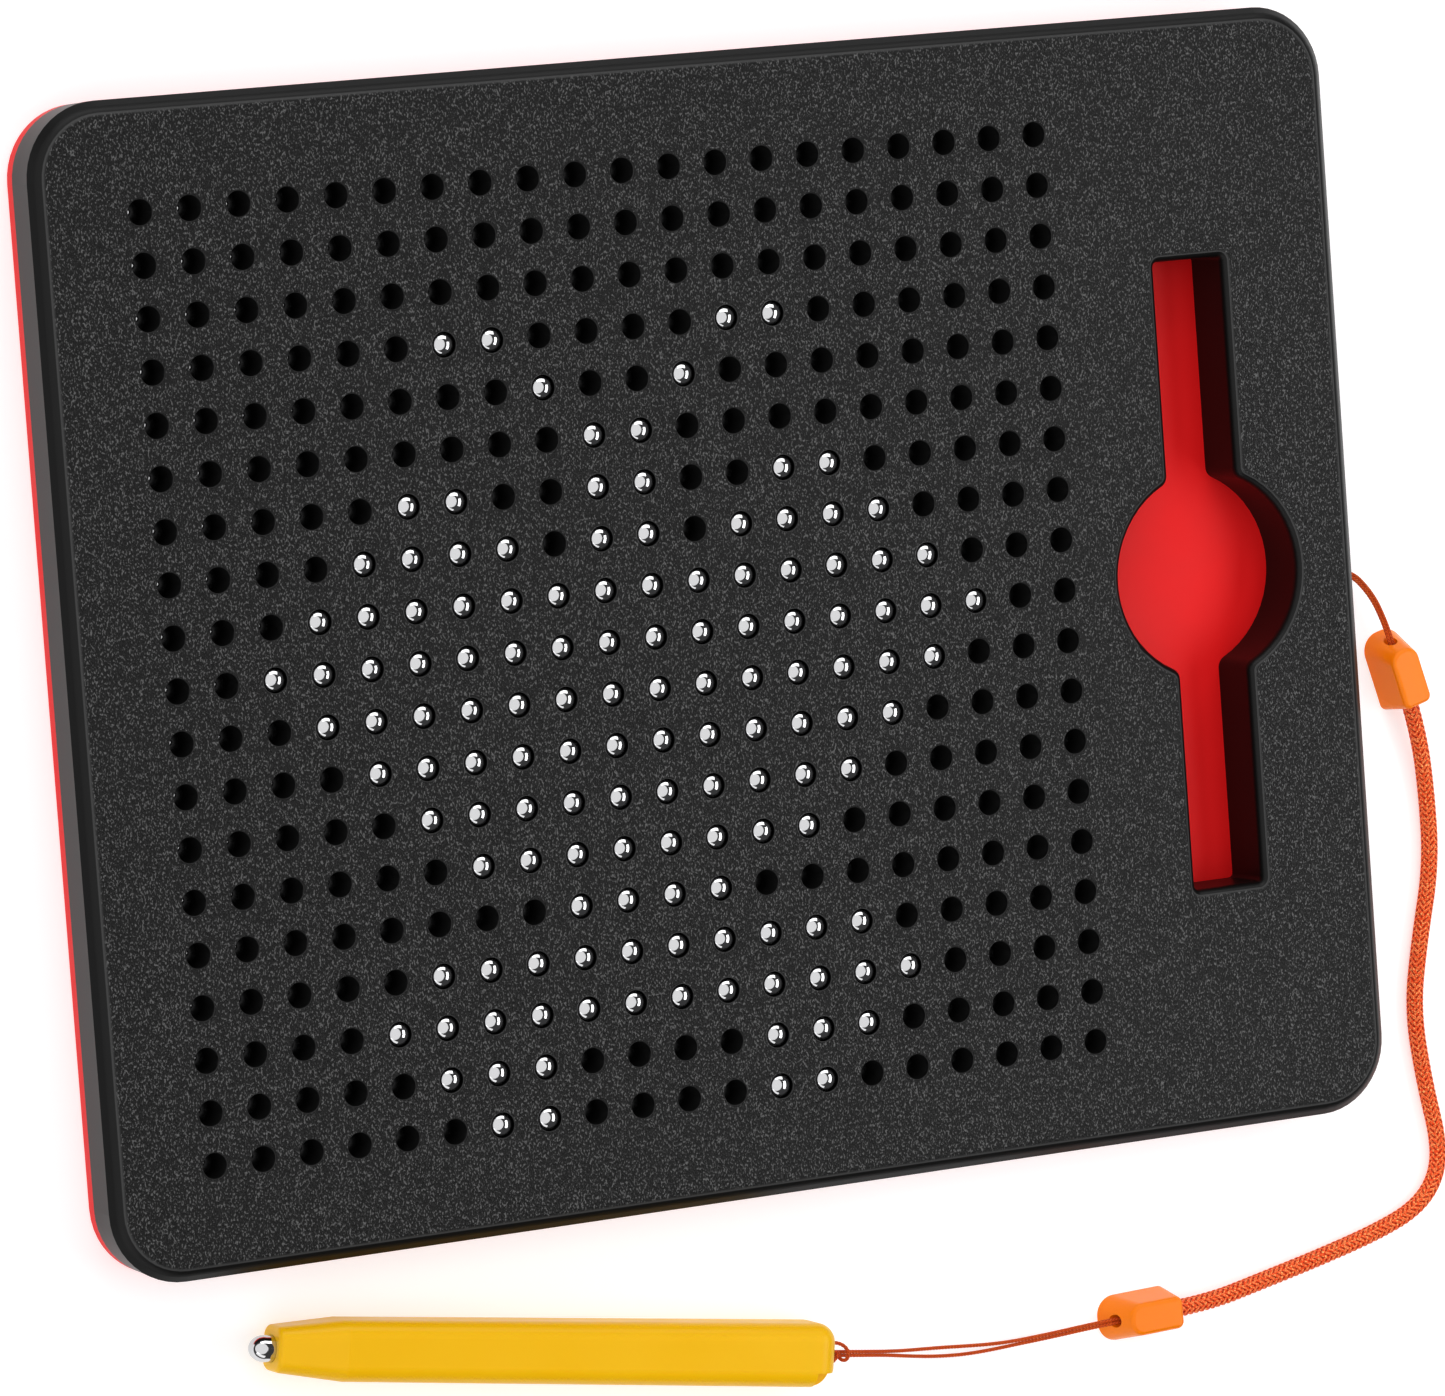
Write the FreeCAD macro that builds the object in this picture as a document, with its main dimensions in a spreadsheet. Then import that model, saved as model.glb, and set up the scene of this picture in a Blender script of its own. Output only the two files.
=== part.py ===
import FreeCAD, Part
import math
import os

import Sketcher

# Magnetic bead drawing board with its stylus and lanyard, laid flat on its rear face.
# Frame: +Z comes out of the front face, +Y runs up the board, +X to its right.
# The origin is the middle of the flat rear face that the board rests on. Millimetres.

Vector = FreeCAD.Vector
Constraint = Sketcher.Constraint

DIMENSIONS = [
    # the case
    ("board_length", 229.4, "overall, along X"),
    ("board_width", 183.8, "overall, along Y"),
    ("board_height", 11.5, "rear face to front face"),
    ("corner_radius", 12.0, "outline, seen from the front"),
    ("side_draft", 2.7, "degrees, the sides narrow toward the rear"),
    ("bevel", 1.7, "45 degree bevel round the front face"),
    ("bevel_blend", 2.5, "radius that softens the bevel's inner edge"),
    ("rear_height", 2.9, "red cover, rear face to parting line"),
    ("rear_floor", 1.0, "red cover, floor"),
    ("rear_rim", 4.0, "red cover, width of its raised rim"),
    ("rear_fillet", 0.7, "red cover, round on the rest face's edge"),
    ("side_wall", 2.0, "front cover, outer wall"),
    ("front_plate", 2.0, "front cover, drilled plate"),
    # the grid of bead holes
    ("pitch", 8.25, "hole to hole, both ways"),
    ("bead_columns", 20, "holes along X"),
    ("bead_rows", 19, "holes along Y"),
    ("edge_to_hole", 17.65, "left side to the first column"),
    ("mouth_diameter", 4.1, "hole at the front face, smaller than a bead"),
    ("mouth_chamfer", 0.15, "edge break on each hole"),
    ("lip", 0.6, "plate left above each well"),
    ("well_diameter", 5.3, "well that a bead slides in"),
    ("well_bottom", 1.8, "height of the wells' bottoms"),
    ("tray_border", 4.5, "tray edge beyond the outer columns"),
    ("overcut", 1.0, "how far a cut runs past the face it opens"),
    # the beads
    ("bead_diameter", 4.76, "3/16 inch steel ball"),
    ("raised_height", 9.4, "centre of a bead pulled up to the plate"),
    ("bead_travel", 5.0, "from raised down to lowered"),
    # the stylus recess: a straight slot crossed by a round finger hole
    ("recess_x", 86.9, "centre line of the slot"),
    ("slot_width", 12.7, "wall to wall"),
    ("slot_length", 103.4, "wall to wall"),
    ("slot_corner", 0.8, "corner radius of the slot"),
    ("finger_diameter", 33.4, "finger hole, wall to wall"),
    ("recess_wall", 1.6, "skirt round the recess"),
    ("recess_round", 1.5, "round of the recess's front edge"),
    ("recess_throat", 2.0, "round where the slot meets the finger hole"),
    # the screws that hold the covers together
    ("screw_x", 107.0, "corner screws, from the middle"),
    ("screw_y", 79.0, "corner screws, from the middle"),
    ("middle_screw_y", 84.0, "the two screws on the centre line"),
    ("boss_diameter", 7.0, "front cover's bosses"),
    ("pilot_diameter", 2.8, "hole in a boss"),
    ("shank_diameter", 2.6, "screw shank"),
    ("clearance_diameter", 3.0, "hole in the rear cover"),
    ("head_diameter", 5.2, "pan head"),
    ("head_bore", 5.6, "counterbore for the head"),
    ("head_height", 1.4, "pan head"),
    ("head_sink", 0.3, "head below the rest face"),
    ("shank_length", 6.0, "below the head"),
    ("drive_width", 0.7, "arms of the cross drive"),
    ("drive_length", 2.8, "arms of the cross drive"),
    ("drive_depth", 0.8, "arms of the cross drive"),
    # the stylus, along its own +X from the point of the tip
    ("stylus_x", -91.2, "point of the tip"),
    ("stylus_y", -104.6, "point of the tip"),
    ("stylus_turn", -8.5, "degrees, direction from the tip to the cap"),
    ("tip_diameter", 4.3, "steel tip"),
    ("tip_nose", 2.4, "rounded part of the tip"),
    ("tip_reach", 3.8, "tip in front of the barrel"),
    ("tip_shank", 8.0, "tip inside the barrel"),
    ("magnet_length", 14.0, "magnet behind the tip"),
    ("bore_diameter", 4.4, "hole for the tip and the magnet"),
    ("nose_size", 7.2, "barrel's section at its front"),
    ("shoulder_size", 9.8, "barrel's section behind the taper"),
    ("barrel_size", 10.4, "barrel's section at the cap"),
    ("nose_round", 0.8, "edge of the barrel's front face"),
    ("taper_length", 11.3, "nose to shoulder"),
    ("barrel_length", 92.2, "nose to the cap's seam"),
    ("hollow_diameter", 6.4, "hollow behind the magnet"),
    ("hollow_length", 66.0, "hollow behind the magnet"),
    ("section_corner", 0.27, "corner radius as a share of the section"),
    ("cap_length", 6.0, "seam to the end"),
    ("cap_round", 3.4, "round of the cap's end"),
    ("notch_length", 4.0, "step in the cap's front corner"),
    ("notch_width", 2.5, "step in the cap's front corner"),
    ("notch_ledge", 6.4, "material left under the step, which clears the string passage"),
    ("end_wall", 2.6, "cap's end, which the string loops through"),
    ("string_hole", 1.8, "the two holes in the cap's end"),
    ("string_hole_spacing", 3.8, "centre to centre, a bar between them"),
    ("passage_corner", 0.6, "corner radius of the string passage behind the end"),
    # the lanyard
    ("exit_y", -2.0, "string hole in the board's right side"),
    ("exit_height", 5.6, "string hole in the board's right side"),
    ("exit_diameter", 2.4, "string hole in the board's right side"),
    ("string_diameter", 1.3, "two thin strings side by side"),
    ("strap_diameter", 3.0, "braided cord"),
    ("knot_diameter", 3.6, "knot that keeps the string in the board"),
    ("clasp_length", 13.0, "moulded end piece"),
    ("clasp_base", 7.6, "width on the table"),
    ("clasp_top", 5.2, "width of the top face"),
    ("clasp_height", 6.4, "table to top face"),
    ("clasp_nose", 3.2, "slope from the top face down to the string end"),
    ("clasp_arch", 3.3, "upright corners of the string end, on the table"),
    ("clasp_corner", 1.2, "upright corners of the strap end"),
    ("clasp_round", 0.8, "round of the top face's edge"),
    ("clasp_axis", 3.2, "height of its holes"),
    ("socket_depth", 2.6, "socket for the strap"),
    ("socket_diameter", 3.3, "socket for the strap"),
    ("string_bore", 2.2, "hole for the string"),
]

# Raised beads: for each row, counted from the top, the first and last column of each run.
RAISED_RUNS = {
    3: [(6, 7), (12, 13)],
    4: [(8, 8), (11, 11)],
    5: [(9, 10)],
    6: [(5, 6), (9, 10), (13, 14)],
    7: [(4, 7), (9, 10), (12, 15)],
    8: [(3, 16)],
    9: [(2, 17)],
    10: [(3, 16)],
    11: [(4, 15)],
    12: [(5, 14)],
    13: [(6, 13)],
    14: [(8, 11)],
    15: [(5, 14)],
    16: [(4, 15)],
    17: [(5, 7), (12, 14)],
    18: [(6, 7), (12, 13)],
}

# The lanyard lies on the table at z = 0. Each route runs from the board toward the stylus.
STRING_ROUTE = [
    (109.2, -2.0, 5.6),
    (116.2, -2.2, 5.5),
    (121.4, -7.0, 4.4),
    (124.4, -12.5, 3.3),
    (125.9, -17.7, 3.2),
    (127.6, -23.8, 3.2),
]
STRAP_ROUTE = [
    (127.6, -24.0, 3.2),
    (129.7, -31.5, 2.9),
    (131.2, -42.0, 1.7),
    (131.2, -54.0, 1.6),
    (128.0, -66.5, 1.6),
    (125.8, -78.0, 1.6),
    (127.2, -90.5, 1.6),
    (129.3, -101.0, 1.6),
    (128.1, -107.2, 1.6),
    (123.6, -111.7, 1.6),
    (115.5, -114.6, 1.6),
    (104.0, -117.4, 1.6),
    (92.5, -119.8, 1.7),
    (82.2, -121.6, 2.9),
    (73.1, -121.9, 3.2),
]
STYLUS_STRING_ROUTE = [
    (72.8, -121.9, 3.2),
    (62.0, -122.3, 3.1),
    (50.8, -123.4, 1.4),
    (40.2, -123.8, 0.9),
    (29.0, -122.8, 1.7),
    (18.6, -121.0, 4.7),
    (10.2, -119.8, 5.2),
]

# The string end of each clasp, and the direction in degrees from there to its strap end.
BOARD_CLASP = (124.8, -13.9, -74.4)
STYLUS_CLASP = (62.6, -122.3, 2.0)

# The six screws: one in each corner, and one in the middle of the two long sides.
SCREW_SIGNS = [(1, 1), (-1, 1), (-1, -1), (1, -1), (0, 1), (0, -1)]

TOLERANCE = 0.01  # mm for an edge found by its place, mm3 for the least a cut removes
VOLUME_ERROR = 0.01  # share by which a tube may differ from its section times its length
ARC_REACH = 0.45  # share of the shorter run that a cord's arc takes up

doc = FreeCAD.newDocument("bead_drawing_board")
nodes = []


# ---------------------------------------------------------------- the sheet


def make_sheet():
    """Write the driving dimensions, one named cell each."""
    table = doc.addObject("Spreadsheet::Sheet", "dimensions")
    for row, (alias, value, note) in enumerate(DIMENSIONS, start=1):
        table.set("A%d" % row, alias)
        table.set("B%d" % row, str(value))
        table.set("C%d" % row, note)
        table.setAlias("B%d" % row, alias)
    doc.recompute()
    return table


sheet = make_sheet()


def size(alias):
    """Read one driving dimension."""
    return float(getattr(sheet, alias))


def bind(item, sizes):
    """Bind properties or named constraints to expressions; #name stands for a cell."""
    for path, expression in sizes.items():
        item.setExpression(path, expression.replace("#", "dimensions."))


def keep(item, label):
    """Register an object as the sub-part with this node name."""
    item.Label = label
    nodes.append(item)
    return item


# Expressions that several pieces share.
SIDE_INSET = "((#board_height - #bevel - #rear_height) * tan(#side_draft * 1deg))"
REAR_INSET = "(%s + #rear_height * tan(#side_draft * 1deg))" % SIDE_INSET
PLATE_UNDERSIDE = "(#board_height - #front_plate)"
FIRST_HOLE_X = "(#edge_to_hole - #board_length / 2)"
FIRST_HOLE_Y = "(#pitch * (#bead_rows - 1) / 2)"
SEAM_X = "(#tip_reach + #barrel_length)"


# ---------------------------------------------------------------- sketches


def origin_feature(body, role):
    """Find one of a body's own origin planes or axes."""
    return next(item for item in body.Origin.OriginFeatures if item.Role == role)


def new_sketch(body, name, role="XY_Plane", x="0", y="0", z="0"):
    """Start a sketch on one of the body's planes, moved in that plane's own axes."""
    sketch = body.newObject("Sketcher::SketchObject", name)
    sketch.AttachmentSupport = [(origin_feature(body, role), "")]
    sketch.MapMode = "FlatFace"
    offset = "AttachmentOffset.Base."
    bind(sketch, {offset + "x": x, offset + "y": y, offset + "z": z})
    return sketch


def dimension(sketch, name, expression, *constraint):
    """Add a named dimension to a sketch and bind it."""
    index = sketch.addConstraint(Constraint(*constraint))
    sketch.renameConstraint(index, name)
    bind(sketch, {"Constraints." + name: expression})


def draw_rounded_rectangle(sketch, length, width, radius):
    """Draw a rounded rectangle about the sketch's origin, from a rough start of any size."""
    half_x = 50.0
    half_y = 40.0
    corner = 5.0
    arcs = []
    for turn, (sign_x, sign_y) in enumerate([(1, 1), (-1, 1), (-1, -1), (1, -1)]):
        centre = Vector(sign_x * (half_x - corner), sign_y * (half_y - corner), 0)
        circle = Part.Circle(centre, Vector(0, 0, 1), corner)
        start = turn * math.pi / 2
        arcs.append(sketch.addGeometry(Part.ArcOfCircle(circle, start, start + math.pi / 2)))
    for index, arc in enumerate(arcs):
        following = arcs[(index + 1) % 4]
        start = sketch.getPoint(arc, 2)
        end = sketch.getPoint(following, 1)
        line = sketch.addGeometry(Part.LineSegment(start, end))
        sketch.addConstraint(Constraint("Tangent", arc, 2, line, 1))
        sketch.addConstraint(Constraint("Tangent", line, 2, following, 1))
        sketch.addConstraint(Constraint(["Horizontal", "Vertical"][index % 2], line))
    for arc in arcs[1:]:
        sketch.addConstraint(Constraint("Equal", arcs[0], arc))
    sketch.addConstraint(Constraint("Symmetric", arcs[0], 3, arcs[2], 3, -1, 1))
    dimension(sketch, "corner", radius, "Radius", arcs[0], corner)
    dimension(sketch, "along", length, "DistanceX", arcs[1], 2, arcs[0], 1, 2 * half_x)
    dimension(sketch, "across", width, "DistanceY", arcs[3], 1, arcs[0], 2, 2 * half_y)


def draw_circle(sketch, diameter):
    """Draw a circle about the sketch's origin."""
    circle = sketch.addGeometry(Part.Circle(Vector(0, 0, 0), Vector(0, 0, 1), 2.0))
    sketch.addConstraint(Constraint("Coincident", circle, 3, -1, 1))
    dimension(sketch, "across", diameter, "Diameter", circle, 4.0)


def draw_screw_circles(sketch, diameter):
    """Draw a circle at each of the six screws, from a rough start of any size near its place."""
    for count, (sign_x, sign_y) in enumerate(SCREW_SIGNS):
        guess = Vector(100.0 * sign_x, 80.0 * sign_y, 0)
        circle = sketch.addGeometry(Part.Circle(guess, Vector(0, 0, 1), 2.0))
        dimension(sketch, "across%d" % count, diameter, "Diameter", circle, 4.0)
        from_origin = (-1, 1, circle, 3)
        to_origin = (circle, 3, -1, 1)
        if sign_x:
            ends = from_origin if sign_x > 0 else to_origin
            dimension(sketch, "x%d" % count, "#screw_x", "DistanceX", *ends, 100.0)
        else:
            sketch.addConstraint(Constraint("PointOnObject", circle, 3, -2))
        height = "#screw_y" if sign_x else "#middle_screw_y"
        ends = from_origin if sign_y > 0 else to_origin
        dimension(sketch, "y%d" % count, height, "DistanceY", *ends, 80.0)


def draw_outline(sketch, points):
    """Draw a closed outline; each point is a pair of expressions, each positive or "0".

    The lines start as a convex polygon of any size, which the dimensions then pull into shape.
    """
    count = len(points)
    lines = []
    for index in range(count):
        start = Vector(10.0 + index, 10.0 + index ** 2, 0)
        following = (index + 1) % count
        end = Vector(10.0 + following, 10.0 + following ** 2, 0)
        lines.append(sketch.addGeometry(Part.LineSegment(start, end)))
    for index, line in enumerate(lines):
        sketch.addConstraint(Constraint("Coincident", line, 2, lines[(index + 1) % count], 1))
        for axis, expression in zip("XY", points[index]):
            if expression == "0":
                axis_line = {"X": -2, "Y": -1}[axis]
                sketch.addConstraint(Constraint("PointOnObject", line, 1, axis_line))
            else:
                name = "%s%d" % (axis.lower(), index)
                dimension(sketch, name, expression, "Distance" + axis, -1, 1, line, 1, 10.0)


# ---------------------------------------------------------------- features


def new_body(label):
    return keep(doc.addObject("PartDesign::Body", label), label)


def pad(body, sketch, length, draft=None):
    """Add material along the sketch's normal; a positive draft widens it."""
    feature = body.newObject("PartDesign::Pad", sketch.Name + "_pad")
    feature.Profile = sketch
    bind(feature, {"Length": length})
    if draft:
        bind(feature, {"TaperAngle": draft})
    doc.recompute()
    return feature


def cut(body, sketch, length, along_normal=True):
    """Cut from the sketch; the volume shows whether it met the solid."""
    before = body.Tip.Shape.Volume
    feature = body.newObject("PartDesign::Pocket", sketch.Name + "_cut")
    feature.Profile = sketch
    feature.Reversed = along_normal
    bind(feature, {"Length": length})
    doc.recompute()
    check_cut(feature, before)
    return feature


def turn_out(body, sketch):
    """Cut the sketch's profile out, turned about its own vertical axis."""
    before = body.Tip.Shape.Volume
    feature = body.newObject("PartDesign::Groove", sketch.Name + "_groove")
    feature.Profile = sketch
    feature.ReferenceAxis = (sketch, ["V_Axis"])
    feature.Angle = 360
    doc.recompute()
    check_cut(feature, before)
    return feature


def check_cut(feature, before):
    removed = before - feature.Shape.Volume
    if removed < TOLERANCE:
        raise RuntimeError("%s removes nothing" % feature.Name)
    print("%-28s removes %9.2f mm3" % (feature.Name, removed))


def repeat_over_grid(body, feature):
    """Repeat a feature at the first hole over all columns and rows."""
    pattern = body.newObject("PartDesign::MultiTransform", feature.Name + "_grid")
    pattern.Originals = [feature]
    steps = []
    for role, count, backward in (("X_Axis", "bead_columns", False), ("Y_Axis", "bead_rows", True)):
        step = body.newObject("PartDesign::LinearPattern", "%s_%s" % (feature.Name, count))
        step.Direction = (origin_feature(body, role), [""])
        step.Reversed = backward
        step.Occurrences = int(size(count))
        bind(step, {"Length": "#pitch * (#%s - 1)" % count, "Occurrences": "#" + count})
        steps.append(step)
    pattern.Transformations = steps
    body.Tip = pattern
    doc.recompute()
    return pattern


def edges_where(shape, test):
    """Name the edges whose middle passes the test."""
    names = []
    for index, edge in enumerate(shape.Edges, start=1):
        middle = edge.valueAt((edge.FirstParameter + edge.LastParameter) / 2)
        if test(edge, middle):
            names.append("Edge%d" % index)
    return names


def dress(body, kind, name, test, amount):
    """Add a Fillet or Chamfer on the edges that pass the test."""
    base = body.Tip
    edges = edges_where(base.Shape, test)
    if not edges:
        raise RuntimeError("%s finds no edges" % name)
    feature = body.newObject("PartDesign::" + kind, name)
    feature.Base = (base, edges)
    bind(feature, {"Radius" if kind == "Fillet" else "Size": amount})
    doc.recompute()
    return feature


def level(height):
    """A test for edges that lie at one height."""

    def at_height(edge, middle):
        return max(abs(edge.BoundBox.ZMin - height), abs(edge.BoundBox.ZMax - height)) < TOLERANCE

    return at_height


# ---------------------------------------------------------------- the covers


def add_case_outline(body, name, base_height, inset, height):
    """Pad the case's outline from one height, widening with the side draft."""
    outline = new_sketch(body, name, z=base_height)
    draw_rounded_rectangle(
        outline,
        "#board_length - 2 * " + inset,
        "#board_width - 2 * " + inset,
        "#corner_radius - " + inset,
    )
    return pad(body, outline, height, draft="#side_draft")


def cut_case_cavity(body, name, base_height, margin, height):
    """Cut the inside of a cover, a margin in from its outline at the parting line."""
    cavity = new_sketch(body, name, z=base_height)
    draw_rounded_rectangle(
        cavity,
        "#board_length - 2 * (%s + %s)" % (SIDE_INSET, margin),
        "#board_width - 2 * (%s + %s)" % (SIDE_INSET, margin),
        "#corner_radius - %s - %s" % (SIDE_INSET, margin),
    )
    return cut(body, cavity, height)


def soften_bevel(body):
    """Bevel the front edge and round the bevel into the front face."""
    top = size("board_height")
    dress(body, "Chamfer", "front_bevel", level(top), "#bevel")
    dress(body, "Fillet", "bevel_blend_fillet", level(top), "#bevel_blend")


def add_recess_skirt(body):
    """Add the walls round the stylus slot and its finger hole."""
    height = PLATE_UNDERSIDE + " - #rear_floor"
    slot = new_sketch(body, "slot_skirt", x="#recess_x", z="#rear_floor")
    draw_rounded_rectangle(
        slot,
        "#slot_width + 2 * #recess_wall",
        "#slot_length + 2 * #recess_wall",
        "#slot_corner + #recess_wall",
    )
    pad(body, slot, height)
    finger = new_sketch(body, "finger_skirt", x="#recess_x", z="#rear_floor")
    draw_circle(finger, "#finger_diameter + 2 * #recess_wall")
    pad(body, finger, height)


def cut_recess(body):
    """Open the keyhole through the front cover and round its edges."""
    slot = new_sketch(body, "slot", x="#recess_x", z="#rear_floor")
    draw_rounded_rectangle(slot, "#slot_width", "#slot_length", "#slot_corner")
    cut(body, slot, "#board_height")
    finger = new_sketch(body, "finger", x="#recess_x", z="#rear_floor")
    draw_circle(finger, "#finger_diameter")
    cut(body, finger, "#board_height")

    half_width = size("slot_width") / 2
    half_finger = size("finger_diameter") / 2
    throat_y = math.sqrt(half_finger ** 2 - half_width ** 2)

    def at_throat(edge, middle):
        upright = edge.BoundBox.ZLength > size("front_plate")
        off_x = abs(abs(middle.x - size("recess_x")) - half_width)
        return upright and off_x < TOLERANCE and abs(abs(middle.y) - throat_y) < TOLERANCE

    dress(body, "Fillet", "recess_throats", at_throat, "#recess_throat")

    def at_recess_rim(edge, middle):
        near = abs(middle.x - size("recess_x")) < half_finger + TOLERANCE
        inside = abs(middle.y) < size("slot_length") / 2 + TOLERANCE
        return level(size("board_height"))(edge, middle) and near and inside

    dress(body, "Fillet", "recess_rim", at_recess_rim, "#recess_round")


def add_screw_bosses(body):
    """Add the six bosses under the plate, with their pilot holes."""
    depth = PLATE_UNDERSIDE + " - #rear_height"
    bosses = new_sketch(body, "bosses", z="#rear_height")
    draw_screw_circles(bosses, "#boss_diameter")
    pad(body, bosses, depth)
    pilots = new_sketch(body, "pilots", z="#rear_height")
    draw_screw_circles(pilots, "#pilot_diameter")
    cut(body, pilots, depth)


def drill_string_hole(body):
    """Drill the right side wall for the lanyard's string."""
    hole = new_sketch(
        body,
        "string_hole",
        role="YZ_Plane",
        x="#exit_y",
        y="#exit_height",
        z="#board_length / 2 - 2 * #side_wall",
    )
    draw_circle(hole, "#exit_diameter")
    cut(body, hole, "3 * #side_wall")


def drill_bead_holes(body):
    """Turn out one lipped hole with its well, then repeat it over the grid."""
    hole = new_sketch(body, "bead_hole", role="XZ_Plane", x=FIRST_HOLE_X, z="-" + FIRST_HOLE_Y)
    above = "#board_height + #overcut"
    lip_bottom = "#board_height - #lip"
    below = PLATE_UNDERSIDE + " - #overcut"
    draw_outline(hole, [
        ("0", above),
        ("#mouth_diameter / 2 + #mouth_chamfer", above),
        ("#mouth_diameter / 2 + #mouth_chamfer", "#board_height"),
        ("#mouth_diameter / 2", "#board_height - #mouth_chamfer"),
        ("#mouth_diameter / 2", lip_bottom),
        ("#well_diameter / 2", lip_bottom),
        ("#well_diameter / 2", below),
        ("0", below),
    ])
    repeat_over_grid(body, turn_out(body, hole))


def make_front_cover():
    body = new_body("front_cover")
    add_case_outline(body, "front_outline", "#rear_height", SIDE_INSET, "#board_height - #rear_height")
    soften_bevel(body)
    cut_case_cavity(body, "front_cavity", "#rear_height", "#side_wall", PLATE_UNDERSIDE + " - #rear_height")
    add_recess_skirt(body)
    cut_recess(body)
    add_screw_bosses(body)
    drill_string_hole(body)
    drill_bead_holes(body)


def make_rear_cover():
    body = new_body("rear_cover")
    add_case_outline(body, "rear_outline", "0", REAR_INSET, "#rear_height")
    dress(body, "Fillet", "rest_edge", level(0.0), "#rear_fillet")
    cut_case_cavity(body, "rear_cavity", "#rear_floor", "#rear_rim", "#rear_height - #rear_floor")
    standoffs = new_sketch(body, "standoffs", z="#rear_floor")
    draw_screw_circles(standoffs, "#boss_diameter")
    pad(body, standoffs, "#rear_height - #rear_floor")
    holes = new_sketch(body, "screw_holes")
    draw_screw_circles(holes, "#clearance_diameter")
    cut(body, holes, "#rear_height")
    counterbores = new_sketch(body, "counterbores")
    draw_screw_circles(counterbores, "#head_bore")
    cut(body, counterbores, "#head_sink + #head_height")


def make_bead_tray():
    """The block of wells between the two covers."""
    body = new_body("bead_tray")
    middle_x = FIRST_HOLE_X + " + #pitch * (#bead_columns - 1) / 2"
    block = new_sketch(body, "tray_block", x=middle_x, z="#rear_floor")
    draw_rounded_rectangle(
        block,
        "#pitch * (#bead_columns - 1) + 2 * #tray_border",
        "#pitch * (#bead_rows - 1) + 2 * #tray_border",
        "#well_diameter / 2",
    )
    pad(body, block, PLATE_UNDERSIDE + " - #rear_floor")
    well = new_sketch(body, "well", x=FIRST_HOLE_X, y=FIRST_HOLE_Y, z="#well_bottom")
    draw_circle(well, "#well_diameter")
    repeat_over_grid(body, cut(body, well, PLATE_UNDERSIDE + " - #well_bottom"))


# ---------------------------------------------------------------- screws and beads


def compound(label, pieces):
    """Group identical loose pieces as one node."""
    group = doc.addObject("Part::Compound", label)
    group.Links = pieces
    return keep(group, label)


def make_screw(count, x, y):
    """A pan-head screw with a cross drive, head down in the rear cover."""
    head_top = "(#head_sink + #head_height)"
    head = doc.addObject("Part::Cylinder", "screw_head_%d" % count)
    bind(head, {"Radius": "#head_diameter / 2", "Height": "#head_height", "Placement.Base.z": "#head_sink"})
    shank = doc.addObject("Part::Cylinder", "screw_shank_%d" % count)
    bind(shank, {"Radius": "#shank_diameter / 2", "Height": "#shank_length", "Placement.Base.z": head_top})
    blank = doc.addObject("Part::Fuse", "screw_blank_%d" % count)
    blank.Base = head
    blank.Tool = shank
    arms = []
    for length, width in (("#drive_length", "#drive_width"), ("#drive_width", "#drive_length")):
        arm = doc.addObject("Part::Box", "screw_drive_%d_%d" % (count, len(arms)))
        bind(arm, {
            "Length": length,
            "Width": width,
            "Height": "#drive_depth",
            "Placement.Base.x": "-%s / 2" % length,
            "Placement.Base.y": "-%s / 2" % width,
            "Placement.Base.z": "#head_sink",
        })
        arms.append(arm)
    cross = doc.addObject("Part::Fuse", "screw_cross_%d" % count)
    cross.Base, cross.Tool = arms
    screw = doc.addObject("Part::Cut", "screw_%d" % count)
    screw.Base = blank
    screw.Tool = cross
    bind(screw, {"Placement.Base.x": x, "Placement.Base.y": y})
    return screw


def make_screws():
    screws = []
    for count, (sign_x, sign_y) in enumerate(SCREW_SIGNS):
        from_middle = "#screw_y" if sign_x else "#middle_screw_y"
        x = "%d * #screw_x" % sign_x
        y = "%d * %s" % (sign_y, from_middle)
        screws.append(make_screw(count, x, y))
    compound("cover_screws", screws)


def raised_columns(row):
    """The columns whose beads are up in one row."""
    return [column for first, last in RAISED_RUNS.get(row, []) for column in range(first, last + 1)]


def make_bead(row, column, height):
    bead = doc.addObject("Part::Sphere", "bead_%02d_%02d" % (row, column))
    bind(bead, {
        "Radius": "#bead_diameter / 2",
        "Placement.Base.x": "%s + #pitch * %d" % (FIRST_HOLE_X, column),
        "Placement.Base.y": "%s - #pitch * %d" % (FIRST_HOLE_Y, row),
        "Placement.Base.z": height,
    })
    return bead


def make_beads():
    """One node for the raised beads of each row and one for its lowered beads."""
    for row in range(int(size("bead_rows"))):
        up = raised_columns(row)
        down = [column for column in range(int(size("bead_columns"))) if column not in up]
        if up:
            beads = [make_bead(row, column, "#raised_height") for column in up]
            compound("raised_beads_row_%02d" % (row + 1), beads)
        beads = [make_bead(row, column, "#raised_height - #bead_travel") for column in down]
        compound("lowered_beads_row_%02d" % (row + 1), beads)


# ---------------------------------------------------------------- the stylus


def place_on_stylus(item):
    """Put a piece into the stylus's frame, which lies on the table beside the board."""
    bind(item, {
        "Placement.Base.x": "#stylus_x",
        "Placement.Base.y": "#stylus_y",
        "Placement.Base.z": "#barrel_size / 2",
        "Placement.Rotation.Angle": "#stylus_turn * 1deg",
    })
    return item


def new_stylus_body(label):
    return place_on_stylus(new_body(label))


def draw_stylus_section(body, name, x, section):
    """Sketch the rounded-square section across the stylus."""
    sketch = new_sketch(body, name, role="YZ_Plane", z=x)
    draw_rounded_rectangle(sketch, section, section, "%s * #section_corner" % section)
    return sketch


def cut_along_stylus(body, name, x, diameter, length, toward_cap):
    """Bore a round hole along the stylus's axis."""
    hole = new_sketch(body, name, role="YZ_Plane", z=x)
    draw_circle(hole, diameter)
    return cut(body, hole, length, along_normal=toward_cap)


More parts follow.
